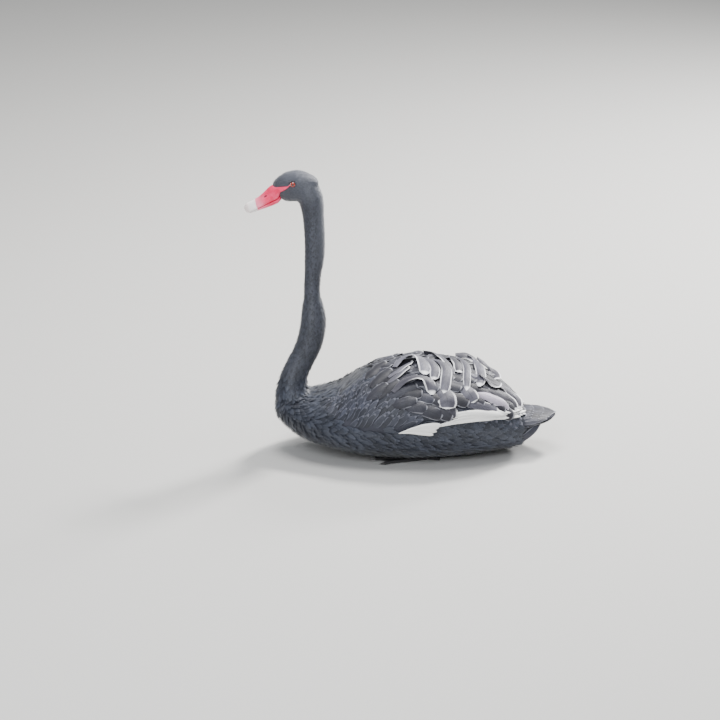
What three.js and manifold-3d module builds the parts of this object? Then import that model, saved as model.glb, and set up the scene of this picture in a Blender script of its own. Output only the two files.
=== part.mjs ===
// A black swan at life size, sitting on its belly with its neck held up and its feet tucked under it.
// Millimetres, +Z up. The bill points along -X, the bird's left side faces -Y, and the origin is on the
// floor under the middle of the belly's flat.
import * as THREE from "three";
import { mergeVertices } from "three/addons/utils/BufferGeometryUtils.js";
import Module from "manifold-3d";

const wasm = await Module();
wasm.setup();

// Driving dimensions
const GAP = 0.3; // between neighbouring pieces
const BIG = 900; // past everything
const LEFT = -1;
const RIGHT = 1;

// The whole body with its folded wings, as sections square to X: top, bottom and half-width. What lies
// below the floor is cut away, so that the belly is pressed flat.
const BODY = [
  { x: -267, top: 94, bottom: 94, wide: 0 },
  { x: -246, top: 124, bottom: 61, wide: 50 },
  { x: -205, top: 130, bottom: 35, wide: 86 },
  { x: -150, top: 135, bottom: 20, wide: 113 },
  { x: -60, top: 181, bottom: 1, wide: 136 },
  { x: 30, top: 198, bottom: -4, wide: 140 },
  { x: 115, top: 190, bottom: 0, wide: 131 },
  { x: 190, top: 160, bottom: 7, wide: 104 },
  { x: 245, top: 114, bottom: 11, wide: 68 },
  { x: 280, top: 58, bottom: 58, wide: 0 },
];

// The trunk under the wings
const CORE = [
  { x: -267, top: 94, bottom: 94, wide: 0 },
  { x: -246, top: 123, bottom: 61, wide: 49 },
  { x: -205, top: 124, bottom: 35, wide: 76 },
  { x: -150, top: 126, bottom: 20, wide: 100 },
  { x: -60, top: 162, bottom: 1, wide: 120 },
  { x: 30, top: 176, bottom: -4, wide: 122 },
  { x: 115, top: 166, bottom: 0, wide: 113 },
  { x: 190, top: 136, bottom: 7, wide: 86 },
  { x: 245, top: 93, bottom: 11, wide: 52 },
  { x: 276, top: 57, bottom: 57, wide: 0 },
];
const BELLY_FULLNESS = 0.84; // below 1, the under half of each section is boxier than an ellipse
const BODY_SIDES = 24;
const BODY_ROWS = 15;

// The neck's line from inside the head down into the breast, with its half-thickness there
const NECK = [
  { x: -205, z: 590, thick: 20 },
  { x: -196, z: 576, thick: 26.5 },
  { x: -185, z: 552, thick: 26 },
  { x: -180, z: 512, thick: 22.5 },
  { x: -177.5, z: 467, thick: 22 },
  { x: -178, z: 427, thick: 21.5 },
  { x: -182, z: 388, thick: 18 },
  { x: -184, z: 348, thick: 17.5 },
  { x: -182, z: 316, thick: 24 },
  { x: -181.5, z: 284, thick: 28 },
  { x: -188, z: 244, thick: 28.5 },
  { x: -202, z: 209, thick: 27.5 },
  { x: -218, z: 178, thick: 28 },
  { x: -226, z: 146, thick: 34 },
  { x: -223, z: 114, thick: 43 },
  { x: -202, z: 86, thick: 46 },
];
const NECK_SIDES = 16;
const NECK_ROWS = 33;
const NECK_WIDTH = 0.94; // side to side, as a share of front to back
const NECK_CUTS = [428, 298, 164]; // heights of the thin cuts that part it

// The head, along an axis that slopes down to the bill
const HEAD = { x: -209, z: 584, slope: 8 };
const HEAD_SHAPE = [
  { along: -40, up: 0, down: 0, wide: 0 },
  { along: -32, up: 12, down: 22, wide: 15 },
  { along: -17, up: 23, down: 32.5, wide: 22 },
  { along: 2, up: 30.5, down: 36, wide: 24 },
  { along: 22, up: 29.5, down: 35, wide: 21 },
  { along: 40, up: 21.5, down: 29, wide: 16.5 },
  { along: 51, up: 13, down: 17, wide: 12 },
  { along: 57, up: 0, down: 0, wide: 0 },
];
const HEAD_SIDES = 16;
const HEAD_ROWS = 13;
const EYE = { x: -224, z: 588.5, side: 17.1, radius: 6.4 };

// The bill, from the bare skin before the eyes to its tip
const BILL = { x: -240, z: 578, slope: 30 };
const BILL_SHAPE = [
  { along: -8, up: 4, down: 2, wide: 21 },
  { along: 8, up: 8, down: 12, wide: 19 },
  { along: 26, up: 16, down: 22, wide: 17 },
  { along: 42, up: 11.5, down: 21, wide: 16 },
  { along: 62, up: 7.5, down: 17, wide: 15 },
  { along: 80, up: 8, down: 12, wide: 14 },
  { along: 90, up: 6, down: 8, wide: 9.5 },
  { along: 95, up: 0, down: 0, wide: 0 },
];
const BILL_SIDES = 14;
const BILL_ROWS = 10;
const MOUTH = [
  { x: -225, z: 571 },
  { x: -262, z: 549 },
  { x: -300, z: 529 },
  { x: -340, z: 511 },
];
const PALE_FROM = -300; // where the bill's pale front third starts

// The folded wing seen from the side: from the wrist back along the lower edge to its rounded end
const WING_OUTLINE = [
  [-196, 108],
  [-178, 92],
  [-130, 84],
  [-50, 82],
  [10, 92],
  [50, 113],
  [90, 126],
  [150, 130],
  [225, 110],
  [252, 110],
  [260, 120],
  [236, 252],
  [-100, 252],
  [-190, 162],
];

// The white flight feathers that show below it, out to their tips
const FLIGHT_OUTLINE = [
  [-14, 84],
  [16, 78],
  [42, 71],
  [60, 76],
  [84, 94],
  [150, 96],
  [236, 84],
  [262, 86],
  [268, 98],
  [258, 114],
  [90, 142],
  [0, 112],
];

// The upper back between the wings, seen from above
const MANTLE_OUTLINE = [
  [-300, 66],
  [-190, 60],
  [-110, 48],
  [-30, 24],
  [20, 0.5],
  [20, -0.5],
  [-30, -24],
  [-110, -48],
  [-190, -60],
  [-300, -66],
];

// The bed of the curled plumes on the back, seen from the side, and how far it rises
const BED_OUTLINE = [
  [-46, 164],
  [40, 156],
  [130, 150],
  [200, 134],
  [243, 120],
  [246, 252],
  [-46, 252],
];
const BED_RISE = 7;

// Curled plumes: shoulder and inner wing feathers that arch up, bend over and hang with flicked ends.
// Each steps rearwards by dx and around the body from the ridge (90) down to the flank (0), lifted off it.
const CURL_THICK = 3.4;
const CURL_STEPS = 3;
const CURL_WIDTH = 33;
const RIDGE_CURL = [
  { dx: 0, turn: 84, lift: -4 },
  { dx: 10, turn: 74, lift: 17 },
  { dx: 24, turn: 60, lift: 19 },
  { dx: 34, turn: 46, lift: 12 },
  { dx: 38, turn: 36, lift: 15 },
];
const SIDE_CURL = [
  { dx: 0, turn: 60, lift: -2 },
  { dx: 12, turn: 50, lift: 13 },
  { dx: 24, turn: 39, lift: 14 },
  { dx: 32, turn: 28, lift: 8 },
  { dx: 35, turn: 19, lift: 11 },
];
const RIDGE_STARTS = [-30, 4, 38, 92, 126, 160];
const RIDGE_LIFTS = [0.4, 0.6, 0.6, 0.25, 0.95, 1.1];
const SIDE_STARTS = [-20, 18, 56, 94, 132];
const SIDE_LIFTS = [0.8, 1, 1, 1, 1];

// The tail's fan
const TAIL = [
  { x: 222, top: 70, bottom: 70, wide: 0 },
  { x: 240, top: 84, bottom: 56, wide: 34 },
  { x: 266, top: 87, bottom: 58, wide: 48 },
  { x: 296, top: 86, bottom: 66, wide: 44 },
  { x: 320, top: 83, bottom: 73, wide: 25 },
  { x: 331, top: 80, bottom: 80, wide: 0 },
];
const TAIL_SIDES = 16;
const TAIL_ROWS = 10;

// Folded legs: each shank runs back from the toes' root to the heel, and the webbed toes point forward
const HEEL = { x: 156, side: 52, z: 14 };
const TOE_ROOT = { x: 60, side: 61, z: 7 };
const SHANK_RADIUS = 7;
const TOE_LENGTHS = [92, 112, 98];
const TOE_TURNS = [-11, 4, 19]; // degrees outward from straight ahead
const TOE_RADIUS = 5.2;
const TOE_TIP_RADIUS = 3.6;
const WEB_THICK = 3;
const HIND_TOE = { length: 24, turn: 160 };
const CLAW_LENGTH = 13;
const CLAW_RADIUS = 3;

const looks = {
  plumage: { color: 0x2b2c33, roughness: 0.75, metalness: 0 },
  curls: { color: 0x3a3b44, roughness: 0.7, metalness: 0 },
  white: { color: 0xf2f0ea, roughness: 0.7, metalness: 0 },
  bill: { color: 0xd8203a, roughness: 0.35, metalness: 0 },
  pale_bill: { color: 0xf0d9d6, roughness: 0.35, metalness: 0 },
  eye: { color: 0x8a1712, roughness: 0.1, metalness: 0 },
  leg: { color: 0x24242a, roughness: 0.6, metalness: 0 },
  claw: { color: 0x141416, roughness: 0.4, metalness: 0 },
};

// A smooth curve through [position, value] pairs that never overshoots them
function smooth(pairs) {
  const slopes = pairs.slice(1).map(([x, y], i) => (y - pairs[i][1]) / (x - pairs[i][0]));
  const tangents = pairs.map((_, i) => {
    if (i === 0) return slopes[0];
    if (i === pairs.length - 1) return slopes[i - 1];
    const [before, after] = [slopes[i - 1], slopes[i]];
    return before * after <= 0 ? 0 : (2 * before * after) / (before + after);
  });
  return (x) => {
    let i = 0;
    while (i < pairs.length - 2 && x > pairs[i + 1][0]) i += 1;
    const width = pairs[i + 1][0] - pairs[i][0];
    const t = THREE.MathUtils.clamp((x - pairs[i][0]) / width, 0, 1);
    const [a, b] = [pairs[i][1], pairs[i + 1][1]];
    const rise = width * t * (1 - t) * (tangents[i] * (1 - t) - tangents[i + 1] * t);
    return a + (b - a) * t * t * (3 - 2 * t) + rise;
  };
}

// A closed three.js geometry as a solid, facing outwards, for joining and cutting
function solid(geometry) {
  geometry.deleteAttribute("normal");
  geometry.deleteAttribute("uv");
  const merged = mergeVertices(geometry, 1e-3);
  const points = merged.attributes.position;
  const corners = Uint32Array.from(merged.index.array);
  const [a, b, c] = [new THREE.Vector3(), new THREE.Vector3(), new THREE.Vector3()];
  let volume = 0;
  for (let i = 0; i < corners.length; i += 3) {
    a.fromBufferAttribute(points, corners[i]);
    b.fromBufferAttribute(points, corners[i + 1]);
    c.fromBufferAttribute(points, corners[i + 2]);
    volume += a.dot(b.cross(c));
  }
  if (volume < 0) corners.reverse();
  return new wasm.Manifold(
    new wasm.Mesh({ numProp: 3, vertProperties: points.array, triVerts: corners }),
  );
}

// A sphere whose surface is moved: place(t, angle) is where it goes, with t from pole to pole
function drawnSphere(sides, rows, place) {
  const geometry = new THREE.SphereGeometry(1, sides, rows);
  const position = geometry.attributes.position;
  for (let row = 0; row <= rows; row += 1) {
    for (let side = 0; side <= sides; side += 1) {
      const { x, y, z } = place(row / rows, (2 * Math.PI * (side % sides)) / sides);
      position.setXYZ(row * (sides + 1) + side, x, y, z);
    }
  }
  return solid(geometry);
}

// How sections square to X run from one end to the other, evenly rounded at both ends
function sectionsOf(stations) {
  const first = stations[0].x;
  const length = stations.at(-1).x - first;
  const share = (x) => Math.acos(1 - (2 * (x - first)) / length) / Math.PI;
  const at = (key) => smooth(stations.map((s) => [share(s.x), s[key]]));
  return { first, length, share, top: at("top"), bottom: at("bottom"), wide: at("wide") };
}

// A point of such a body's surface; angle is 0 at the flank and a quarter turn at the top
function surfacePoint(sections, t, angle, side, out) {
  const { first, length, top, bottom, wide } = sections;
  const middle = (top(t) + bottom(t)) / 2;
  const high = (top(t) - bottom(t)) / 2;
  const end = -Math.cos(Math.PI * t);
  const pole = t === 0 || t === 1;
  const power = Math.sin(angle) < 0 ? BELLY_FULLNESS : 1;
  const fuller = (value) => Math.sign(value) * Math.abs(value) ** power;
  return new THREE.Vector3(
    first + (length * (1 + end)) / 2 + (pole ? end * out : 0),
    side * (wide(t) + (pole ? 0 : out)) * fuller(Math.cos(angle)),
    middle + (high + (pole ? 0 : out)) * fuller(Math.sin(angle)),
  );
}

function bodyShape(stations, sides, rows, grow = 0) {
  const sections = sectionsOf(stations);
  return drawnSphere(sides, rows, (t, angle) => surfacePoint(sections, t, angle, RIGHT, grow));
}

// A round limb along a line in the middle plane
function limb(stations, sides, rows, widthShare, grow = 0) {
  const line = new THREE.CatmullRomCurve3(
    stations.map((s) => new THREE.Vector3(s.x, 0, s.z)),
    false,
    "centripetal",
  );
  const thick = smooth(stations.map((s, i) => [i / (stations.length - 1), s.thick]));
  const end = 1 / rows;
  return drawnSphere(sides, rows, (t, angle) => {
    const along = THREE.MathUtils.clamp((t - end) / (1 - 2 * end), 0, 1);
    const centre = line.getPoint(along);
    const way = line.getTangent(along);
    const radius = t === 0 || t === 1 ? 0 : thick(along) + grow;
    return {
      x: centre.x + way.z * radius * Math.cos(angle),
      y: radius * widthShare * Math.sin(angle),
      z: centre.z - way.x * radius * Math.cos(angle),
    };
  });
}

// A shape with an up, a down and a side size at each distance along an axis that slopes to -X
function slopingShape(axis, stations, sides, rows, grow = 0) {
  const slope = THREE.MathUtils.degToRad(axis.slope);
  const first = stations[0].along;
  const length = stations.at(-1).along - first;
  const share = (along) => Math.acos(1 - (2 * (along - first)) / length) / Math.PI;
  const at = (key) => smooth(stations.map((s) => [share(s.along), s[key]]));
  const [up, down, wide] = [at("up"), at("down"), at("wide")];
  return drawnSphere(sides, rows, (t, angle) => {
    const pole = t === 0 || t === 1;
    const end = -Math.cos(Math.PI * t);
    const along = first + (length * (1 + end)) / 2 + (pole ? end * grow : 0);
    const rise = (Math.sin(angle) > 0 ? up(t) : down(t)) + grow;
    const high = pole ? 0 : rise * Math.sin(angle);
    return {
      x: axis.x - along * Math.cos(slope) - high * Math.sin(slope),
      y: pole ? 0 : (wide(t) + grow) * Math.cos(angle),
      z: axis.z - along * Math.sin(slope) + high * Math.cos(slope),
    };
  });
}

function prism(outline, depth, grow) {
  const shape = new THREE.Shape(outline.map(([x, y]) => new THREE.Vector2(x, y)));
  return new THREE.ExtrudeGeometry(shape, {
    depth,
    bevelEnabled: grow > 0,
    bevelSize: grow,
    bevelThickness: grow,
    bevelSegments: 1,
  });
}

// A block with an outline in the side view, on one side of the middle plane
function sideBlock(outline, side, near = 0, grow = 0) {
  const geometry = prism(outline, BIG, grow);
  geometry.rotateX(Math.PI / 2);
  geometry.translate(0, side > 0 ? BIG + near : -near, 0);
  return solid(geometry);
}

// A block with an outline seen from above, between two heights
function topBlock(outline, low, high, grow = 0) {
  const geometry = prism(outline, high - low, grow);
  geometry.translate(0, 0, low);
  return solid(geometry);
}

// Everything between two heights
function layer(low, high) {
  const geometry = new THREE.BoxGeometry(2 * BIG, 2 * BIG, high - low);
  geometry.translate(0, 0, (low + high) / 2);
  return solid(geometry);
}

// A flat strip bent along a line of points, its width kept square to a given outward way
function bentStrip(points, outward, wide, thick, steps) {
  const line = new THREE.CatmullRomCurve3(points, false, "centripetal");
  const geometry = new THREE.BoxGeometry(1, 1, 1, 1, 1, steps);
  const position = geometry.attributes.position;
  for (let i = 0; i < position.count; i += 1) {
    const t = position.getZ(i) + 0.5;
    const way = line.getTangent(t);
    const across = new THREE.Vector3().crossVectors(outward(t), way).normalize();
    const face = new THREE.Vector3().crossVectors(way, across);
    const at = line.getPoint(t);
    at.addScaledVector(across, position.getX(i) * wide * (0.82 + 0.18 * Math.sin(Math.PI * t)));
    at.addScaledVector(face, position.getY(i) * thick);
    position.setXYZ(i, at.x, at.y, at.z);
  }
  return solid(geometry);
}

const ground = layer(-BIG, 0);
const joined = (list) => list.reduce((sum, next) => sum.add(next));

function geometryOf(made) {
  const { vertProperties, triVerts } = made.getMesh();
  const geometry = new THREE.BufferGeometry();
  geometry.setAttribute("position", new THREE.BufferAttribute(vertProperties, 3));
  geometry.setIndex(new THREE.BufferAttribute(triVerts, 1));
  return geometry;
}

function biggest(made) {
  return made.decompose().reduce((best, next) => (next.volume() > best.volume() ? next : best));
}

// The biggest body of a solid, without the slivers that cutting leaves
function main(made) {
  return biggest(solid(geometryOf(biggest(made.simplify(0.1)))));
}

const group = new THREE.Group();
group.name = "black_swan";
const materials = {};
for (const [key, look] of Object.entries(looks)) {
  materials[key] = new THREE.MeshStandardMaterial({ name: key, ...look });
}

function place(name, made, look) {
  const geometry = geometryOf(main(made));
  geometry.computeVertexNormals();
  const mesh = new THREE.Mesh(geometry, materials[look]);
  mesh.name = name;
  group.add(mesh);
}

// Bill, eyes and head
const bill = (grow) => slopingShape(BILL, BILL_SHAPE, BILL_SIDES, BILL_ROWS, grow);
const head = (grow) => slopingShape(HEAD, HEAD_SHAPE, HEAD_SIDES, HEAD_ROWS, grow);
const mouthEdge = (offset) => MOUTH.map((p) => [p.x, p.z + offset]);
const aboveMouth = [...mouthEdge(GAP / 2), [-340, BIG], [-100, BIG], [-100, 640]];
const belowMouth = [...mouthEdge(-GAP / 2), [-340, 0], [-100, 0], [-100, 640]];
const bothSides = (outline) =>
  sideBlock(outline, LEFT, -1).add(sideBlock(outline, RIGHT, -1));
const upperBill = bill(0).intersect(bothSides(aboveMouth));
const lowerBill = bill(0).intersect(bothSides(belowMouth));
const front = [
  [PALE_FROM, 0],
  [PALE_FROM, BIG],
  [-BIG, BIG],
  [-BIG, 0],
];
place("bill_upper", upperBill.subtract(bothSides(front)), "bill");
place(
  "bill_tip",
  upperBill.intersect(bothSides(front.map(([x, z]) => [x - GAP, z]))),
  "pale_bill",
);
place("bill_lower", lowerBill, "bill");

function eye(side, grow = 0) {
  const geometry = new THREE.SphereGeometry(EYE.radius + grow, 10, 7);
  geometry.translate(EYE.x, side * EYE.side, EYE.z);
  return solid(geometry);
}

const eyes = eye(LEFT, GAP).add(eye(RIGHT, GAP));
place("head", head(0).subtract(bill(GAP)).subtract(eyes), "plumage");
place("eye_left", eye(LEFT), "eye");
place("eye_right", eye(RIGHT), "eye");

// Neck, in lengths
const neck = limb(NECK, NECK_SIDES, NECK_ROWS, NECK_WIDTH).subtract(head(GAP));
const [highCut, middleCut, lowCut] = NECK_CUTS;
place("neck_upper", neck.intersect(layer(highCut + GAP / 2, BIG)), "plumage");
place("neck_middle", neck.intersect(layer(middleCut + GAP / 2, highCut - GAP / 2)), "plumage");
place("neck_lower", neck.intersect(layer(lowCut + GAP / 2, middleCut - GAP / 2)), "plumage");
const neckRoot = neck.intersect(layer(-BIG, lowCut - GAP / 2));

const tail = (grow = 0) => bodyShape(TAIL, TAIL_SIDES, TAIL_ROWS, grow);

// Wings and flight feathers fill pockets in the whole body's shape, beside the trunk
const body = (grow = 0) => bodyShape(BODY, BODY_SIDES, BODY_ROWS, grow);
const core = (grow = 0) => bodyShape(CORE, BODY_SIDES, BODY_ROWS, grow);
const mantle = (grow) => topBlock(MANTLE_OUTLINE, 0, BIG, grow);
const wholeBody = body();
const keep = core(GAP).add(mantle(GAP));

function pocket(side) {
  const opening = sideBlock(WING_OUTLINE, side, -1, GAP).add(
    sideBlock(FLIGHT_OUTLINE, side, -1, GAP),
  );
  return opening.subtract(core()).subtract(mantle(0));
}

for (const [side, word] of [
  [LEFT, "left"],
  [RIGHT, "right"],
]) {
  const wingBlock = sideBlock(WING_OUTLINE, side, GAP / 2);
  place(`wing_${word}`, wholeBody.intersect(wingBlock).subtract(keep), "plumage");
  const flight = wholeBody.intersect(sideBlock(FLIGHT_OUTLINE, side, GAP / 2)).subtract(keep);
  const ownPlace = flight.subtract(sideBlock(WING_OUTLINE, side, 0, GAP)).subtract(tail(GAP));
  place(`flight_${word}`, ownPlace, "white");
}

// Legs
function toe(side, length, turn, grow) {
  const angle = THREE.MathUtils.degToRad(turn);
  const geometry = new THREE.CylinderGeometry(
    TOE_TIP_RADIUS + grow,
    TOE_RADIUS + grow,
    length,
    8,
    1,
  );
  geometry.rotateY(Math.PI / 8);
  geometry.translate(0, length / 2, 0);
  geometry.rotateZ(Math.PI / 2 - side * angle);
  geometry.translate(TOE_ROOT.x, side * TOE_ROOT.side, TOE_TIP_RADIUS * 0.9);
  return solid(geometry);
}

function toeEnd(side, length, turn) {
  const angle = THREE.MathUtils.degToRad(turn);
  return [
    TOE_ROOT.x - length * Math.cos(angle),
    side * (TOE_ROOT.side + length * Math.sin(angle)),
  ];
}

function leg(side, grow = 0) {
  const parts = TOE_LENGTHS.map((length, i) => toe(side, length, TOE_TURNS[i], grow));
  parts.push(toe(side, HIND_TOE.length, HIND_TOE.turn, grow));
  const fan = [[TOE_ROOT.x, side * TOE_ROOT.side]];
  TOE_LENGTHS.forEach((length, i) => {
    fan.push(toeEnd(side, length * 0.96, TOE_TURNS[i]));
    if (i < 2) {
      const between = (TOE_TURNS[i] + TOE_TURNS[i + 1]) / 2;
      fan.push(toeEnd(side, Math.min(length, TOE_LENGTHS[i + 1]) * 0.84, between));
    }
  });
  parts.push(topBlock(side > 0 ? fan.reverse() : fan, 0, WEB_THICK, grow));
  const from = new THREE.Vector3(TOE_ROOT.x, side * TOE_ROOT.side, TOE_ROOT.z);
  const to = new THREE.Vector3(HEEL.x, side * HEEL.side, HEEL.z);
  const way = to.clone().sub(from);
  const shank = new THREE.CapsuleGeometry(SHANK_RADIUS + grow, way.length(), 3, 10, 1);
  const turn = new THREE.Quaternion().setFromUnitVectors(
    new THREE.Vector3(0, 1, 0),
    way.clone().normalize(),
  );
  shank.applyQuaternion(turn);
  const middle = from.add(to).multiplyScalar(0.5);
  shank.translate(middle.x, middle.y, middle.z);
  parts.push(solid(shank));
  return joined(parts);
}

function claw(side, length, turn, grow = 0) {
  const angle = THREE.MathUtils.degToRad(turn);
  const geometry = new THREE.ConeGeometry(CLAW_RADIUS + 2 * grow, CLAW_LENGTH + 4 * grow, 8);
  geometry.translate(0, length + CLAW_LENGTH / 2 + GAP, 0);
  geometry.rotateZ(Math.PI / 2 - side * angle);
  geometry.translate(TOE_ROOT.x, side * TOE_ROOT.side, CLAW_RADIUS);
  return solid(geometry);
}

const legsGrown = leg(LEFT, GAP).add(leg(RIGHT, GAP));
const claws = [];
const toeNames = ["inner", "middle", "outer"];
for (const [side, word] of [
  [LEFT, "left"],
  [RIGHT, "right"],
]) {
  place(`leg_${word}`, leg(side).subtract(ground), "leg");
  toeNames.forEach((name, i) => {
    claws.push(claw(side, TOE_LENGTHS[i], TOE_TURNS[i], GAP));
    place(`claw_${name}_${word}`, claw(side, TOE_LENGTHS[i], TOE_TURNS[i]), "claw");
  });
}

// Trunk
const trunk = wholeBody
  .subtract(pocket(LEFT))
  .subtract(pocket(RIGHT))
  .add(neckRoot)
  .subtract(tail(GAP))
  .subtract(legsGrown)
  .subtract(joined(claws))
  .subtract(ground);
place("trunk", trunk, "plumage");
place("tail", tail(), "plumage");

// Plumes: a bed over the upper wings with curls standing out of it
const sections = sectionsOf(BODY);

function curl(start, steps, lifts, side) {
  const at = ({ dx, turn, lift }) => {
    const t = sections.share(start + dx);
    return surfacePoint(sections, t, THREE.MathUtils.degToRad(turn), side, lift * lifts);
  };
  const points = steps.map(at);
  const outward = (t) => {
    const turn = THREE.MathUtils.degToRad(
      THREE.MathUtils.lerp(steps[0].turn, steps.at(-1).turn, t),
    );
    return new THREE.Vector3(0, side * Math.cos(turn), Math.sin(turn));
  };
  return bentStrip(points, outward, CURL_WIDTH, CURL_THICK, CURL_STEPS);
}

for (const [side, word] of [
  [LEFT, "left"],
  [RIGHT, "right"],
]) {
  const bed = body(BED_RISE).intersect(sideBlock(BED_OUTLINE, side, GAP / 2));
  const curls = [
    ...RIDGE_STARTS.map((start, i) => curl(start, RIDGE_CURL, RIDGE_LIFTS[i], side)),
    ...SIDE_STARTS.map((start, i) => curl(start, SIDE_CURL, SIDE_LIFTS[i], side)),
  ];
  const middlePlane = sideBlock(
    [
      [-BIG, -BIG],
      [BIG, -BIG],
      [BIG, BIG],
      [-BIG, BIG],
    ],
    side,
    GAP / 2,
  );
  const plumes = bed.add(joined(curls)).intersect(middlePlane).subtract(body(GAP));
  place(`plumes_${word}`, plumes, "curls");
}

export default group;
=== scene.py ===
import math
from itertools import product
from operator import add

import bmesh
import bpy
import numpy as np
from mathutils import Matrix, Vector
from mathutils.bvhtree import BVHTree


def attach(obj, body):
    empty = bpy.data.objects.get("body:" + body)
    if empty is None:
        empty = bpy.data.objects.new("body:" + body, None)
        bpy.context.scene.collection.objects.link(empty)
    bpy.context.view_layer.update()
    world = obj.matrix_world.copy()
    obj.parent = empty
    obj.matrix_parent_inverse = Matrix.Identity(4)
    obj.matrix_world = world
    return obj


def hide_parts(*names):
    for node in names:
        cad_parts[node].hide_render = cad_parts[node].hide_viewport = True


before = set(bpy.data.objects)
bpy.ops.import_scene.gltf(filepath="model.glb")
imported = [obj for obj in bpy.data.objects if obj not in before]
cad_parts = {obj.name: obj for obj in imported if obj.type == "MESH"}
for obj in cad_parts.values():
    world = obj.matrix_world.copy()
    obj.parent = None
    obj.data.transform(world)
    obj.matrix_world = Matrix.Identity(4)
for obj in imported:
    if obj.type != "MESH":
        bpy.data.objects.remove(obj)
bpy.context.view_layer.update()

# A black swan at life size. Metres, +Z up, bill along -X, left side towards -Y. The tables are in mm.
MM = 0.001
LEFT = -1
RIGHT = 1
random = np.random.default_rng(20771)

# Camera: well above the floor, framed as the photograph is
CAMERA_RISE = math.radians(20)
CAMERA_DISTANCE = 6.0
CAMERA_LENS = 142.86
CAMERA_AIM = (-0.084, 0.0, 0.1991)

# Where the bill's axis starts (x, z) and how steeply it falls, and the middle of the eye, in mm
BILL_AT = (-240, 578)
BILL_SLOPE = math.radians(30)
EYE_AT = (-221, 18.0, 588.5)

# The whole body with its folded wings, as sections square to X: x, top, bottom, half-width
BODY = [
    (-267, 94, 94, 0),
    (-246, 124, 61, 50),
    (-205, 130, 35, 86),
    (-150, 135, 20, 113),
    (-60, 181, 1, 136),
    (30, 198, -4, 140),
    (115, 190, 0, 131),
    (190, 160, 7, 104),
    (245, 114, 11, 68),
    (280, 58, 58, 0),
]

# The middle line from the bill's base over the head, down the neck and back along the body: x, z, radius
MIDDLE = [
    (-262, 572, 18),
    (-240, 580, 24),
    (-209, 584, 30),
    (-190, 560, 26),
    (-181, 530, 23),
    (-178, 470, 22),
    (-178, 425, 21.5),
    (-182, 388, 18),
    (-184, 348, 17.5),
    (-182, 316, 24),
    (-181, 284, 28),
    (-188, 244, 28.5),
    (-202, 209, 27.5),
    (-216, 175, 30),
    (-218, 140, 42),
    (-205, 112, 52),
    (-175, 98, 62),
    (-130, 92, 80),
    (-60, 92, 95),
    (30, 94, 100),
    (115, 90, 95),
    (190, 82, 75),
    (245, 74, 50),
    (300, 80, 20),
    (331, 81, 10),
]


def smooth(pairs):
    """A curve through (position, value) pairs that never overshoots them."""
    xs, ys = np.array(pairs, float).T
    slope = np.diff(ys) / np.diff(xs)
    tangent = np.empty(len(xs))
    tangent[0], tangent[-1] = slope[0], slope[-1]
    before, after = slope[:-1], slope[1:]
    both = before * after > 0
    safe = np.where(both, before + after, 1.0)
    tangent[1:-1] = np.where(both, 2 * before * after / safe, 0.0)

    def curve(x):
        x = np.clip(np.asarray(x, float), xs[0], xs[-1])
        i = np.clip(np.searchsorted(xs, x, side="right") - 1, 0, len(xs) - 2)
        width = xs[i + 1] - xs[i]
        t = (x - xs[i]) / width
        rise = width * t * (1 - t) * (tangent[i] * (1 - t) - tangent[i + 1] * t)
        return ys[i] + (ys[i + 1] - ys[i]) * t * t * (3 - 2 * t) + rise

    return curve


BODY_START = BODY[0][0]
BODY_LENGTH = BODY[-1][0] - BODY_START


def body_share(x):
    return np.arccos(np.clip(1 - 2 * (x - BODY_START) / BODY_LENGTH, -1, 1)) / math.pi


body_top, body_bottom, body_wide = (
    smooth([(body_share(station[0]), station[key]) for station in BODY]) for key in (1, 2, 3)
)


def on_body(x, turn, side, lift):
    """A point lifted off the body's outside. turn is 0 at the flank and 90 at the top, in degrees."""
    share = body_share(x)
    top, bottom = body_top(share), body_bottom(share)
    angle = math.radians(turn)
    middle, high = (top + bottom) / 2, (top - bottom) / 2
    return Vector(
        (
            x,
            side * (body_wide(share) + lift) * math.cos(angle),
            middle + (high + lift) * math.sin(angle),
        )
    )


def add_object(name, mesh):
    piece = bpy.data.objects.new(name, mesh)
    bpy.context.scene.collection.objects.link(piece)
    return piece


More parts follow.
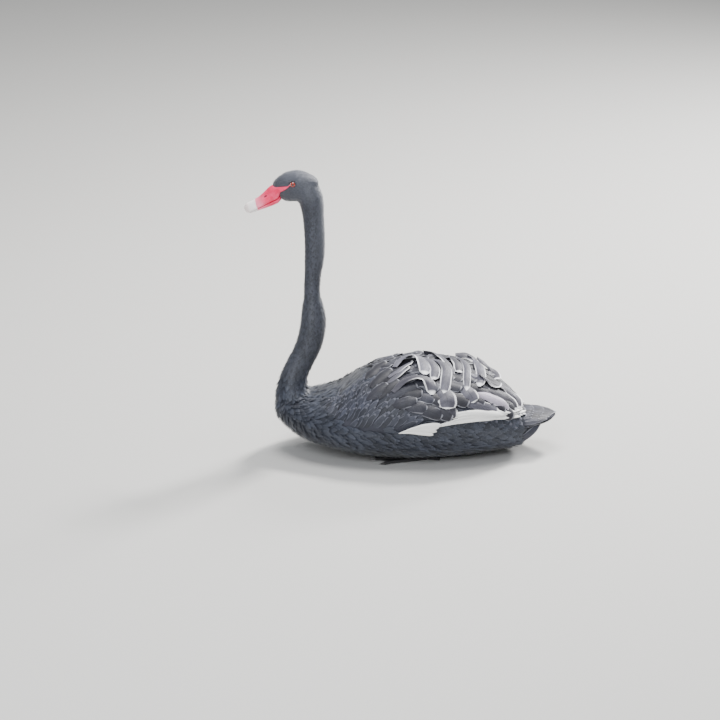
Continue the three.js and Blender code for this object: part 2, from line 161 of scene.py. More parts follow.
# Stage: camera, lights and floor
def build_stage():
    camera_data = bpy.data.cameras.new("camera")
    camera_data.lens = CAMERA_LENS
    camera_data.sensor_width = 36
    camera_data.clip_end = 100
    camera = add_object("camera", camera_data)
    aim = Vector(CAMERA_AIM)
    way = Vector((0, math.cos(CAMERA_RISE), -math.sin(CAMERA_RISE)))
    camera.location = aim - way * CAMERA_DISTANCE
    camera.rotation_euler = way.to_track_quat("-Z", "Y").to_euler()
    bpy.context.scene.camera = camera

    def soft_box(name, at, towards, size, power, colour):
        data = bpy.data.lights.new(name, "AREA")
        data.shape = "SQUARE"
        data.size = size
        data.energy = power
        data.color = colour
        light = add_object(name, data)
        light.location = at
        light.rotation_euler = (Vector(towards) - Vector(at)).to_track_quat("-Z", "Y").to_euler()

    soft_box("key_light", (1.3, 1.5, 3.1), (0, 0, 0.25), 0.7, 235, (1.0, 0.98, 0.95))
    soft_box("fill_light", (-0.9, -3.0, 2.2), (0, 0, 0.25), 2.0, 100, (0.93, 0.96, 1.0))
    soft_box("top_light", (-0.2, -0.2, 3.4), (0, 0, 0.2), 1.6, 115, (1.0, 1.0, 1.0))
    soft_box("rim_light", (2.3, 2.6, 1.7), (-0.05, 0, 0.35), 0.8, 165, (1.0, 1.0, 1.0))

    world = bpy.data.worlds.new("studio")
    bpy.context.scene.world = world
    world.use_nodes = True
    world.node_tree.nodes["Background"].inputs["Color"].default_value = (0.86, 0.89, 0.93, 1)
    world.node_tree.nodes["Background"].inputs["Strength"].default_value = 0.42

    bm = bmesh.new()
    bmesh.ops.create_grid(bm, x_segments=2, y_segments=2, size=30)
    mesh = bpy.data.meshes.new("floor")
    bm.to_mesh(mesh)
    bm.free()
    floor = add_object("floor", mesh)
    paint = bpy.data.materials.new("pale_floor")
    paint.use_nodes = True
    shader = paint.node_tree.nodes["Principled BSDF"]
    shader.inputs["Base Color"].default_value = (0.50, 0.495, 0.48, 1)
    shader.inputs["Roughness"].default_value = 0.85
    mesh.materials.append(paint)


build_stage()


# Materials
class Nodes:
    """Short ways to add and link a material's nodes."""

    def __init__(self, tree):
        self.tree = tree

    def add(self, kind, **settings):
        node = self.tree.nodes.new(kind)
        for key, value in settings.items():
            setattr(node, key, value)
        return node

    def feed(self, socket, value):
        if isinstance(value, bpy.types.NodeSocket):
            self.tree.links.new(value, socket)
        else:
            socket.default_value = value

    def math(self, operation, first, second=0.5, third=0.0, clamp=False):
        node = self.add("ShaderNodeMath", operation=operation, use_clamp=clamp)
        for socket, value in zip(node.inputs, (first, second, third)):
            self.feed(socket, value)
        return node.outputs[0]

    def ramp(self, value, low, high, to_low=0.0, to_high=1.0):
        node = self.add("ShaderNodeMapRange", interpolation_type="SMOOTHSTEP")
        for socket, item in zip(node.inputs, (value, low, high, to_low, to_high)):
            self.feed(socket, item)
        return node.outputs[0]

    def mix(self, share, first, second, blend="MIX"):
        node = self.add("ShaderNodeMix", data_type="RGBA", blend_type=blend)
        self.feed(node.inputs[0], share)
        self.feed(node.inputs[6], first)
        self.feed(node.inputs[7], second)
        return node.outputs[2]

    def noise(self, vector, scale, detail=3.0, roughness=0.55):
        node = self.add("ShaderNodeTexNoise")
        if vector is not None:
            self.feed(node.inputs["Vector"], vector)
        node.inputs["Scale"].default_value = scale
        node.inputs["Detail"].default_value = detail
        node.inputs["Roughness"].default_value = roughness
        return node.outputs["Fac"]

    def place(self):
        return self.add("ShaderNodeTexCoord").outputs["Object"]

    def attribute(self, name):
        return self.add("ShaderNodeAttribute", attribute_name=name).outputs["Fac"]

    def combine(self, x, y, z):
        node = self.add("ShaderNodeCombineXYZ")
        for socket, value in zip(node.inputs, (x, y, z)):
            self.feed(socket, value)
        return node.outputs[0]

    def bump(self, height, strength, distance):
        node = self.add("ShaderNodeBump")
        self.feed(node.inputs["Height"], height)
        node.inputs["Strength"].default_value = strength
        node.inputs["Distance"].default_value = distance
        return node.outputs["Normal"]


def new_material(name, roughness=0.6, specular=0.5, sheen=0.0, coat=0.0):
    material = bpy.data.materials.new(name)
    material.use_nodes = True
    nodes = Nodes(material.node_tree)
    shader = material.node_tree.nodes["Principled BSDF"]
    shader.inputs["Roughness"].default_value = roughness
    shader.inputs["Specular IOR Level"].default_value = specular
    shader.inputs["Sheen Weight"].default_value = sheen
    shader.inputs["Sheen Roughness"].default_value = 0.4
    shader.inputs["Coat Weight"].default_value = coat
    shader.inputs["Coat Roughness"].default_value = 0.12
    return material, nodes, shader


def build_vane_group():
    """Colour and height of a feather's vane: its shaft, barbs, paler border and each feather's own tone."""
    group = bpy.data.node_groups.new("vane_pattern", "ShaderNodeTree")
    sockets = group.interface
    for name, kind in (
        ("Dark", "NodeSocketColor"),
        ("Light", "NodeSocketColor"),
        ("Border", "NodeSocketColor"),
        ("Border Width", "NodeSocketFloat"),
        ("Border Strength", "NodeSocketFloat"),
        ("Mottle", "NodeSocketFloat"),
    ):
        sockets.new_socket(name, in_out="INPUT", socket_type=kind)
    sockets.new_socket("Colour", in_out="OUTPUT", socket_type="NodeSocketColor")
    sockets.new_socket("Height", in_out="OUTPUT", socket_type="NodeSocketFloat")
    sockets.new_socket("Gloss", in_out="OUTPUT", socket_type="NodeSocketFloat")
    nodes = Nodes(group)
    source = nodes.add("NodeGroupInput")
    result = nodes.add("NodeGroupOutput")
    along = nodes.attribute("along")
    across = nodes.math("ABSOLUTE", nodes.attribute("across"))
    tone = nodes.attribute("tone")
    # barbs slant from the shaft towards the tip
    slant = nodes.math("SUBTRACT", nodes.math("MULTIPLY", along, 34.0), nodes.math("MULTIPLY", across, 7.0))
    row = nodes.combine(slant, nodes.math("MULTIPLY", across, 1.2), nodes.math("MULTIPLY", tone, 37.0))
    barbs = nodes.noise(row, 1.6, 3.0, 0.65)
    tuft = nodes.noise(nodes.place(), 26.0, 2.0, 0.5)
    width = source.outputs["Border Width"]
    start, full = nodes.math("SUBTRACT", 1.0, width), nodes.math("MULTIPLY_ADD", width, -0.45, 1.0)
    side = nodes.ramp(across, start, full)
    short = nodes.math("MULTIPLY_ADD", width, -0.34, 1.0)
    tip = nodes.ramp(along, short, nodes.math("MULTIPLY_ADD", width, -0.16, 1.0))
    border = nodes.math("MAXIMUM", nodes.math("MULTIPLY", side, nodes.ramp(along, 0.25, 0.7)), tip)
    frayed = nodes.math("MULTIPLY", border, nodes.ramp(barbs, 0.25, 0.6, 0.45, 1.0))
    shade = nodes.math("ADD", nodes.math("MULTIPLY", tone, 0.62), nodes.math("MULTIPLY", tuft, 0.38))
    body = nodes.mix(nodes.ramp(shade, 0.15, 0.85), source.outputs["Dark"], source.outputs["Light"])
    cloud = nodes.ramp(nodes.noise(nodes.place(), 17.0, 3.0, 0.6), 0.36, 0.66, 0.55, 1.3)
    mottled = nodes.mix(source.outputs["Mottle"], body, nodes.combine(cloud, cloud, cloud), "MULTIPLY")
    barbed = nodes.mix(nodes.ramp(barbs, 0.35, 0.7, 0.0, 0.5), mottled, source.outputs["Dark"])
    share = nodes.math("MULTIPLY", frayed, source.outputs["Border Strength"])
    colour = nodes.mix(share, barbed, source.outputs["Border"])
    slim, fading = nodes.ramp(across, 0.03, 0.08, 1.0, 0.0), nodes.ramp(along, 0.55, 0.95, 1.0, 0.0)
    shaft = nodes.math("MULTIPLY", slim, fading)
    colour = nodes.mix(nodes.math("MULTIPLY", shaft, 0.55), colour, source.outputs["Dark"])
    height = nodes.math("ADD", nodes.math("MULTIPLY", barbs, 0.5), nodes.math("MULTIPLY", shaft, 0.6))
    nodes.feed(result.inputs["Colour"], colour)
    nodes.feed(result.inputs["Height"], height)
    nodes.feed(result.inputs["Gloss"], nodes.ramp(barbs, 0.3, 0.7, 0.46, 0.66))
    return group


vane_group = build_vane_group()


def painted_highlight(nodes, colour, amount):
    """Painted highlight: the colour made paler on the crown, the upper cheeks and down the back of the upper
    neck, where the light falls.
    """
    place = nodes.add("ShaderNodeSeparateXYZ")
    nodes.feed(place.inputs[0], nodes.place())
    crown = nodes.ramp(place.outputs[2], 0.575, 0.612)
    high = nodes.ramp(place.outputs[2], 0.36, 0.50)
    nape = nodes.math("MULTIPLY", nodes.ramp(place.outputs[0], -0.180, -0.158), high)
    cheek = nodes.ramp(place.outputs[2], 0.535, 0.565, 0.0, 0.45)
    share = nodes.math("MAXIMUM", nodes.math("MAXIMUM", crown, nape), cheek)
    return nodes.mix(nodes.math("MULTIPLY", share, amount), colour, (0.19, 0.20, 0.235, 1))


def feather_material(
    name, dark, light, border, width, strength, bump=0.25, sheen=0.12, mottle=0.6, highlight_share=0.0
):
    """dark and light: the vane's two tones; border, width, strength: its paler edge."""
    material, nodes, shader = new_material(name, 0.55, 0.45, sheen)
    group = nodes.add("ShaderNodeGroup", node_tree=vane_group)
    values = dict(zip(("Dark", "Light", "Border"), ((*c, 1) for c in (dark, light, border))))
    values.update({"Border Width": width, "Border Strength": strength, "Mottle": mottle})
    for key, value in values.items():
        nodes.feed(group.inputs[key], value)
    colour = group.outputs["Colour"]
    # painted highlight on the crown, upper cheeks and back of the upper neck
    if highlight_share:
        colour = painted_highlight(nodes, colour, highlight_share)
    nodes.feed(shader.inputs["Base Color"], colour)
    nodes.feed(shader.inputs["Roughness"], group.outputs["Gloss"])
    nodes.feed(shader.inputs["Normal"], nodes.bump(group.outputs["Height"], bump, 0.0004))
    return material


small_coat = feather_material(
    "small_plumage",
    (0.020, 0.023, 0.032),
    (0.055, 0.060, 0.081),
    (0.09, 0.095, 0.115),
    0.3,
    0.3,
    sheen=0.45,
    mottle=0.3,
    # painted highlight on the head and the back of the upper neck
    highlight_share=0.42,
)
body_coat = feather_material(
    "body_plumage",
    (0.013, 0.016, 0.026),
    (0.048, 0.056, 0.079),
    (0.092, 0.102, 0.132),
    0.2,
    0.35,
    bump=0.4,
    sheen=0.24,
)
covert_coat = feather_material(
    "covert_plumage",
    (0.012, 0.014, 0.022),
    (0.050, 0.055, 0.079),
    (0.19, 0.195, 0.24),
    0.24,
    0.5,
    bump=0.4,
    sheen=0.2,
)
back_coat = feather_material(
    "back_plumage",
    (0.009, 0.009, 0.015),
    (0.046, 0.048, 0.070),
    (0.34, 0.345, 0.39),
    0.17,
    0.6,
    bump=0.5,
    sheen=0.15,
)
# The curls' near-white border is their own pale fringe brightened into a painted highlight along the rims.
curl_coat = feather_material(
    "curled_plumage",
    (0.018, 0.017, 0.027),
    (0.135, 0.133, 0.168),
    (0.90, 0.90, 0.92),
    0.27,
    1.0,
    bump=0.5,
    sheen=0.2,
)
pale_coat = feather_material(
    "pale_plumage", (0.13, 0.115, 0.15), (0.36, 0.33, 0.40), (0.74, 0.72, 0.78), 0.22, 0.8, bump=0.5
)
# The grey border is painted shade along the edges of the white feathers, where one lies on the next.
white_coat = feather_material(
    "white_plumage",
    (0.78, 0.775, 0.76),
    (0.93, 0.925, 0.91),
    (0.60, 0.60, 0.61),
    0.10,
    0.55,
    bump=0.4,
    mottle=0.1,
)


def skin_material():
    material, nodes, shader = new_material("down_and_skin", 0.8, 0.3, 0.1)
    mottle = nodes.noise(nodes.place(), 60.0, 4.0)
    colour = nodes.mix(mottle, (0.020, 0.021, 0.030, 1), (0.050, 0.052, 0.068, 1))
    # painted highlight on the crown, upper cheeks and back of the upper neck, as on the small feathers
    nodes.feed(shader.inputs["Base Color"], painted_highlight(nodes, colour, 0.38))
    fluff = nodes.noise(nodes.place(), 420.0, 3.0)
    nodes.feed(shader.inputs["Normal"], nodes.bump(fluff, 0.5, 0.001))
    return material


# Skin: one closed surface inside the flesh nodes
FLESH = ["head", "neck_upper", "neck_middle", "neck_lower", "trunk", "tail", "wing_left", "wing_right"]
FILLING = ["flight_left", "flight_right", "bill_upper", "bill_lower"]
BILL_CUT = (-253.0, 570.5)
SKIN_VOXEL = 3.2 * MM


def coat_depth(points):
    """How far the skin lies inside the solids, by place, in mm."""
    x, z = points[:, 0] / MM, points[:, 2] / MM
    height = smooth([(0, 5.5), (120, 5.5), (170, 4.2), (230, 3.2), (500, 2.4), (550, 1.7), (640, 1.3)])
    depth = height(z)
    tail = np.clip((x - 225) / 50, 0, 1)
    return depth * (1 - tail) + 1.6 * tail


def even_out(mesh, rounds):
    """Smooths a mesh without shrinking it, and keeps it over the floor."""
    places = np.empty(len(mesh.vertices) * 3)
    mesh.vertices.foreach_get("co", places)
    places = places.reshape(-1, 3)
    edges = np.empty(len(mesh.edges) * 2, int)
    mesh.edges.foreach_get("vertices", edges)
    first, second = edges.reshape(-1, 2).T
    count = np.bincount(edges, minlength=len(places))[:, None]
    for _ in range(rounds):
        for factor in (0.5, -0.52):
            total = np.stack(
                [
                    np.bincount(first, places[second, axis], len(places))
                    + np.bincount(second, places[first, axis], len(places))
                    for axis in range(3)
                ],
                axis=1,
            )
            places = places + factor * (total / count - places)
    places[:, 2] = np.maximum(places[:, 2], 0.4 * MM)
    mesh.vertices.foreach_set("co", places.ravel())
    mesh.update()


def build_skin():
    bm = bmesh.new()
    for name in FLESH + FILLING:
        copy = bmesh.new()
        copy.from_mesh(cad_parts[name].data)
        bmesh.ops.remove_doubles(copy, verts=copy.verts, dist=1e-6)
        if name.startswith("bill"):
            bmesh.ops.bisect_plane(
                copy,
                geom=copy.verts[:] + copy.edges[:] + copy.faces[:],
                plane_co=Vector((BILL_CUT[0], 0, BILL_CUT[1])) * MM,
                plane_no=Vector((-math.cos(math.radians(30)), 0, -0.5)),
                clear_outer=True,
            )
            bmesh.ops.holes_fill(copy, edges=copy.edges, sides=0)
        copy.normal_update()
        for vert in copy.verts:
            vert.co += vert.normal * 0.6 * MM
        mesh = bpy.data.meshes.new("part")
        copy.to_mesh(mesh)
        copy.free()
        bm.from_mesh(mesh)
        bpy.data.meshes.remove(mesh)
    mesh = bpy.data.meshes.new("skin")
    bm.to_mesh(mesh)
    bm.free()
    skin = add_object("skin", mesh)
    remesh = skin.modifiers.new("remesh", "REMESH")
    remesh.mode = "VOXEL"
    remesh.voxel_size = SKIN_VOXEL
    depsgraph = bpy.context.evaluated_depsgraph_get()
    made = bpy.data.meshes.new_from_object(skin.evaluated_get(depsgraph))
    skin.modifiers.clear()
    skin.data = made
    made.name = "skin"
    bpy.data.meshes.remove(mesh)

    even_out(made, 10)
    bm = bmesh.new()
    bm.from_mesh(made)
    # loose inner shells left by the gaps between the solids go
    bm.verts.ensure_lookup_table()
    seen, shells = set(), []
    for vert in bm.verts:
        if vert in seen:
            continue
        shell, stack = [], [vert]
        seen.add(vert)
        while stack:
            one = stack.pop()
            shell.append(one)
            for edge in one.link_edges:
                other = edge.other_vert(one)
                if other not in seen:
                    seen.add(other)
                    stack.append(other)
        shells.append(shell)
    shells.sort(key=len)
    for shell in shells[:-1]:
        bmesh.ops.delete(bm, geom=shell, context="VERTS")
    bm.normal_update()
    points = np.array([vert.co for vert in bm.verts])
    depth = coat_depth(points) * MM
    for vert, inward in zip(bm.verts, depth):
        vert.co -= vert.normal * inward
    bm.to_mesh(made)
    bm.free()
    even_out(made, 4)
    made.materials.append(skin_material())
    made.shade_smooth()
    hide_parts(*FLESH)
    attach(skin, "root")
    return skin


skin = build_skin()
skin_tree = BVHTree.FromObject(skin, bpy.context.evaluated_depsgraph_get())


# Coat: how it lies
middle_points = np.array([(x, 0.0, z) for x, z, _ in MIDDLE])
middle_steps = np.linalg.norm(np.diff(middle_points, axis=0), axis=1)
middle_run = np.concatenate([[0], np.cumsum(middle_steps)])
fine_run = np.linspace(0, middle_run[-1], 400)
fine_x = smooth(list(zip(middle_run, middle_points[:, 0])))(fine_run)
fine_z = smooth(list(zip(middle_run, middle_points[:, 2])))(fine_run)
fine_radius = smooth([(run, m[2]) for run, m in zip(middle_run, MIDDLE)])(fine_run)
fine_way = np.stack([np.gradient(fine_x), np.zeros(400), np.gradient(fine_z)], axis=1)
fine_way /= np.linalg.norm(fine_way, axis=1, keepdims=True)


def along_middle(points):
    """For points in mm: share of the middle line's length, angle around it, and the way it runs there."""
    runs, angles, ways = [], [], []
    for chunk in np.array_split(points, max(1, len(points) // 4000)):
        dx = chunk[:, 0, None] - fine_x[None]
        dz = chunk[:, 2, None] - fine_z[None]
        distance = np.sqrt(dx**2 + dz**2 + chunk[:, 1, None] ** 2) - 0.55 * fine_radius[None]
        nearest = distance.min(axis=1, keepdims=True)
        weight = np.exp(-((distance - nearest) / 7.0))
        weight /= weight.sum(axis=1, keepdims=True)
        run = weight @ fine_run
        way = weight @ fine_way
        way /= np.linalg.norm(way, axis=1, keepdims=True)
        centre_x, centre_z = weight @ fine_x, weight @ fine_z
        up = np.stack([way[:, 2], np.zeros(len(way)), -way[:, 0]], axis=1)
        off = np.stack([chunk[:, 0] - centre_x, chunk[:, 1], chunk[:, 2] - centre_z], axis=1)
        angles.append(np.arctan2(off[:, 1], (off * up).sum(axis=1)))
        runs.append(run / fine_run[-1])
        ways.append(way)
    return np.concatenate(runs), np.concatenate(angles), np.concatenate(ways)


def unwrap(points):
    """Where a point of the skin lies on its unwrap: along the body, and around it."""
    share, angle, _ = along_middle(points)
    return np.stack([0.02 + 0.96 * share, 0.03 + 0.94 * (angle / (2 * math.pi) + 0.5)], axis=1)


AROUND = list(product((-1, 0, 1), repeat=3))


def gap_squared(a, b):
    dx, dy, dz = a[0] - b[0], a[1] - b[1], a[2] - b[2]
    return dx * dx + dy * dy + dz * dz


def scatter(region, gap, tries):
    """Roots on the skin, evenly apart: gap(points) says how far, region(points) where, both in mm."""
    mesh = skin.data
    mesh.calc_loop_triangles()
    corners = np.empty(len(mesh.loop_triangles) * 3, int)
    mesh.loop_triangles.foreach_get("vertices", corners)
    places = np.empty(len(mesh.vertices) * 3)
    mesh.vertices.foreach_get("co", places)
    triangles = places.reshape(-1, 3)[corners.reshape(-1, 3)] / MM
    middle = triangles.mean(axis=1)
    inside = region(middle)
    triangles = triangles[inside]
    normals = np.cross(triangles[:, 1] - triangles[:, 0], triangles[:, 2] - triangles[:, 0])
    area = np.linalg.norm(normals, axis=1)
    want = gap(triangles.mean(axis=1))
    chance = area / want**2
    picked = random.choice(len(triangles), tries, p=chance / chance.sum())
    u, v = random.random(tries), random.random(tries)
    flip = u + v > 1
    u[flip], v[flip] = 1 - u[flip], 1 - v[flip]
    chosen = triangles[picked]
    points = (
        chosen[:, 0]
        + u[:, None] * (chosen[:, 1] - chosen[:, 0])
        + v[:, None] * (chosen[:, 2] - chosen[:, 0])
    )
    apart = gap(points)
    cell = apart.max()
    taken, kept = {}, []
    keys = np.floor(points / cell).astype(int)
    for i, (key, point, reach) in enumerate(zip(map(tuple, keys), points.tolist(), apart.tolist())):
        near = (other for step in AROUND for other in taken.get(tuple(map(add, key, step)), ()))
        if all(gap_squared(point, other) >= reach * reach for other in near):
            taken.setdefault(key, []).append(point)
            kept.append(i)
    return points[kept]


def surface_path(point, way, length, steps):
    """Points and normals along the skin from a root, walking the given way. All in mm."""
    places, normals = [], []
    spot, normal, _, _ = skin_tree.find_nearest(Vector(point) * MM)
    spot = spot / MM
    heading = Vector(way)
    for step in range(steps):
        places.append(spot.copy())
        normals.append(normal.copy())
        heading = heading - normal * heading.dot(normal)
        heading.normalize()
        ahead = spot + heading * (length / (steps - 1))
        found, normal, _, _ = skin_tree.find_nearest(ahead * MM)
        spot = found / MM
    return places, normals


# A small vane: rings along it and a three-cornered section, closed at both ends
RING_ALONG = np.array([0.0, 0.28, 0.6, 0.84, 1.0])
RING_WIDTH = np.array([0.30, 0.82, 1.0, 0.78, 0.22])
SECTION = np.array([(-1.0, 0.0), (0.0, 1.0), (1.0, 0.0)])


def closed_faces(rings, corners):
    faces = []
    for ring in range(rings - 1):
        for corner in range(corners):
            after = (corner + 1) % corners
            a, b = ring * corners + corner, ring * corners + after
            faces.append((a, b, b + corners, a + corners))
    return faces


def mesh_from_rings(name, points, corners, along, across, tone, uv):
    """Joins many closed vanes into one mesh. points: vane, ring, corner, xyz in mm."""
    count, rings = points.shape[:2]
    each = rings * corners
    quads = np.array(closed_faces(rings, corners))
    starts = (np.arange(count) * each)[:, None, None]
    quad_all = (quads[None] + starts).reshape(-1, 4)
    root_cap = np.arange(corners)[::-1]
    tip_cap = (rings - 1) * corners + np.arange(corners)
    cap_all = (np.stack([root_cap, tip_cap])[None] + starts).reshape(-1, corners)
    loops = np.concatenate([quad_all.ravel(), cap_all.ravel()])
    sizes = np.concatenate([np.full(len(quad_all), 4), np.full(len(cap_all), corners)])
    begins = np.concatenate([[0], np.cumsum(sizes)[:-1]])
    mesh = bpy.data.meshes.new(name)
    mesh.vertices.add(count * each)
    mesh.vertices.foreach_set("co", (points.reshape(-1) * MM).astype(np.float32))
    mesh.loops.add(len(loops))
    mesh.loops.foreach_set("vertex_index", loops.astype(np.int32))
    mesh.polygons.add(len(sizes))
    mesh.polygons.foreach_set("loop_start", begins.astype(np.int32))
    mesh.polygons.foreach_set("loop_total", sizes.astype(np.int32))
    mesh.update(calc_edges=True)
    spread = {
        "along": np.broadcast_to(along, (count, rings, corners)),
        "across": np.broadcast_to(across, (count, rings, corners)),
        "tone": np.broadcast_to(tone[:, None, None], (count, rings, corners)),
    }
    for key, values in spread.items():
        layer = mesh.attributes.new(key, "FLOAT", "POINT")
        layer.data.foreach_set("value", values.reshape(-1).astype(np.float32))
    patch = np.stack([spread["across"] * 0.5, spread["along"] - 0.5], axis=-1) * 0.003
    placed = (uv[:, None, None, :] + patch).reshape(-1, 2)
    layer = mesh.uv_layers.new(name="OFBake")
    layer.data.foreach_set("uv", placed[loops].reshape(-1).astype(np.float32))
    mesh.shade_smooth()
    mesh.set_sharp_from_angle(angle=math.radians(48))
    return mesh


VANES_IN_A_PIECE = 7000


def lay_vanes(name, roots, ways, length, width, material, rise, splay, thick):
    """Feathers lying along the skin. rise is the root's height over it in mm, then the tip's as a share
    of the coat's depth. splay is how unevenly the tips stand off and thick the vane's own, in mm."""
    steps = len(RING_ALONG)
    paths = np.empty((len(roots), steps, 3))
    norms = np.empty((len(roots), steps, 3))
    for i, (root, way, reach) in enumerate(zip(roots, ways, length)):
        places, normals = surface_path(root, way, reach, steps)
        paths[i] = places
        norms[i] = normals
    forward = np.gradient(paths, axis=1)
    forward /= np.linalg.norm(forward, axis=2, keepdims=True) + 1e-9
    sideways = np.cross(norms, forward)
    sideways /= np.linalg.norm(sideways, axis=2, keepdims=True) + 1e-9
    share = np.linspace(0, 1, steps)
    wobble = random.normal(0, 1, (len(roots), 2))
    depth = coat_depth(roots * MM)[:, None]
    height = rise[0] + (rise[1] * depth - rise[0]) * share[None] ** 1.3
    height = height + splay * wobble[:, :1] * share[None] ** 2 + 0.12 * wobble[:, 1:]
    centre = paths + norms * height[..., None]
    ring_width = RING_WIDTH[None] * width[:, None] / 2
    corners = (
        centre[:, :, None]
        + sideways[:, :, None] * (ring_width[..., None] * SECTION[None, None, :, 0])[..., None]
        + norms[:, :, None] * (thick * SECTION[None, None, :, 1])[..., None]
    )
    # the vane's borders bend down round the body
    bend = (ring_width**2) * 0.5 / 40.0
    corners -= norms[:, :, None] * (bend[..., None] * np.abs(SECTION[None, None, :, 0]))[..., None]
    corners[..., 2] = np.maximum(corners[..., 2], 0.15 + 0.25 * SECTION[None, None, :, 1])
    tone = random.random(len(roots))
    uv = unwrap(roots)
    along = np.broadcast_to(RING_ALONG[None, :, None], corners.shape[:3])
    across = np.broadcast_to(SECTION[None, None, :, 0], corners.shape[:3])
    pieces = max(1, math.ceil(len(roots) / VANES_IN_A_PIECE))
    order = np.argsort(uv[:, 0], kind="stable")
    for number, share_of in enumerate(np.array_split(order, pieces)):
        title = f"{name}_{number + 1}" if pieces > 1 else name
        mesh = mesh_from_rings(
            title, corners[share_of], 3, along[share_of], across[share_of], tone[share_of], uv[share_of]
        )
        mesh.materials.append(material)
        piece = add_object(title, mesh)
        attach(piece, "root")


def near_bill(points):
    """Inside the bare red skin and the bill's base."""
    x, _, z = points.T
    ahead, above = BILL_AT[0] - x, z - BILL_AT[1]
    along = ahead * math.cos(BILL_SLOPE) - above * math.sin(BILL_SLOPE)
    up = ahead * math.sin(BILL_SLOPE) + above * math.cos(BILL_SLOPE)
    high = np.interp(along, [-16, -10, -4, 2, 9, 20, 60], [1.4, 3.2, 5.0, 7.2, 10.4, 13.4, 19])
    low = np.interp(along, [-16, -10, -4, 9, 14, 20, 24], [1.2, -0.6, -2.0, -2.7, -6.7, -12.6, -30])
    return (along > -14.5) & (up < high) & (up > low)


def near_eye(points, reach):
    flat = points.copy()
    flat[:, 1] = np.abs(flat[:, 1])
    return np.linalg.norm(flat - np.array(EYE_AT), axis=1) < reach


def tilt(ways, normals, degrees):
    """Turns the ways about the normals."""
    angle = np.radians(degrees)[:, None]
    return ways * np.cos(angle) + np.cross(normals, ways) * np.sin(angle)


# Where the fine coat of the neck starts (z), the lower edge of the wing (x, z) and the mantle's half-width
NECK_LOW = 176
WING_EDGE = [
    (-200, 125),
    (-130, 90),
    (-50, 86),
    (10, 92),
    (50, 100),
    (90, 116),
    (150, 120),
    (230, 104),
    (262, 92),
]
MANTLE = [(-300, 80), (-190, 66), (-110, 52), (-30, 26), (20, 0)]


def build_coat():
    # head and neck
    def head_and_neck(p):
        return (p[:, 2] > NECK_LOW) & (p[:, 0] < -130) & ~near_bill(p) & ~near_eye(p, 7.4)

    small_gap = smooth([(150, 4.3), (250, 3.6), (400, 2.9), (530, 2.3), (570, 1.75), (640, 1.6)])
    roots = scatter(head_and_neck, lambda p: small_gap(p[:, 2]), 70000)
    _, _, ways = along_middle(roots)
    size = small_gap(roots[:, 2]) * random.uniform(0.9, 1.1, len(roots))
    lay_vanes("neck_coat", roots, ways, size * 3.6, size * 1.75, small_coat, (-0.4, 0.8), 0.2, 0.22)

    # breast, flanks, belly and the tail's coverts
    def under_body(p):
        x, y, z = p.T
        wing_edge = np.interp(x, *np.array(WING_EDGE).T)
        mantle = np.interp(x, *np.array(MANTLE).T)
        wing = (x > -196) & (z > wing_edge) & (np.abs(y) > mantle)
        return (z <= NECK_LOW) & ~wing & (x < 264)

    def body_gap(p):
        apart = np.interp(p[:, 0], [-270, -200, -100, 300], [4.8, 5.6, 6.6, 6.6])
        return apart - np.clip((p[:, 2] - 120) / 60, 0, 1) * 0.9

    roots = scatter(under_body, body_gap, 46000)
    _, _, ways = along_middle(roots)
    normals = np.array([skin_tree.find_nearest(Vector(r) * MM)[1] for r in roots])
    ways = tilt(ways, normals, random.normal(0, 9, len(roots)))
    size = body_gap(roots) * random.uniform(0.8, 1.2, len(roots))
    lay_vanes("body_coat", roots, ways, size * 4.0, size * 1.8, body_coat, (-0.8, 0.9), 0.5, 0.26)

    # wing coverts
    def wing(p):
        return ~under_body(p) & (p[:, 2] <= NECK_LOW + 30) & (p[:, 0] > -200) & (p[:, 0] < 262)

    def wing_gap(p):
        return np.interp(p[:, 0], [-200, -120, 0, 200], [6.4, 8.0, 10.5, 11.5])

    roots = scatter(wing, wing_gap, 20000)
    _, _, ways = along_middle(roots)
    normals = np.array([skin_tree.find_nearest(Vector(r) * MM)[1] for r in roots])
    side = np.sign(roots[:, 1])
    rising = np.interp(roots[:, 0], [-200, -150, -30, 50, 120], [24, 50, 46, 0, -10])
    ways = tilt(ways, normals, -side * (rising + random.normal(0, 7, len(roots))))
    size = wing_gap(roots) * random.uniform(0.85, 1.15, len(roots))
    lay_vanes("wing_coat", roots, ways, size * 4.6, size * 1.5, covert_coat, (-0.8, 0.95), 0.7, 0.4)


build_coat()

# Large feathers: a broad thin vane bent along a path, closed all round
BIG_ACROSS = np.array([-1.0, -0.82, -0.35, 0.0, 0.35, 0.82, 1.0, 0.6, 0.0, -0.6])
BIG_FACE = np.array([0.0, 0.7, 0.8, 1.0, 0.8, 0.7, 0.0, -0.8, -1.0, -0.8])
BIG_RINGS = 15
BLUNT = [(0, 0.42), (0.2, 0.8), (0.45, 1.0), (0.8, 1.0), (0.92, 0.84), (0.97, 0.6), (1, 0.24)]
SLIM_ROOT = [(0, 0.06), (0.25, 0.4), (0.55, 0.9), (0.75, 1.0), (0.9, 0.85), (0.97, 0.55), (1, 0.2)]
POINTED = [(0, 0.5), (0.3, 0.95), (0.55, 1.0), (0.8, 0.72), (0.93, 0.4), (1, 0.1)]


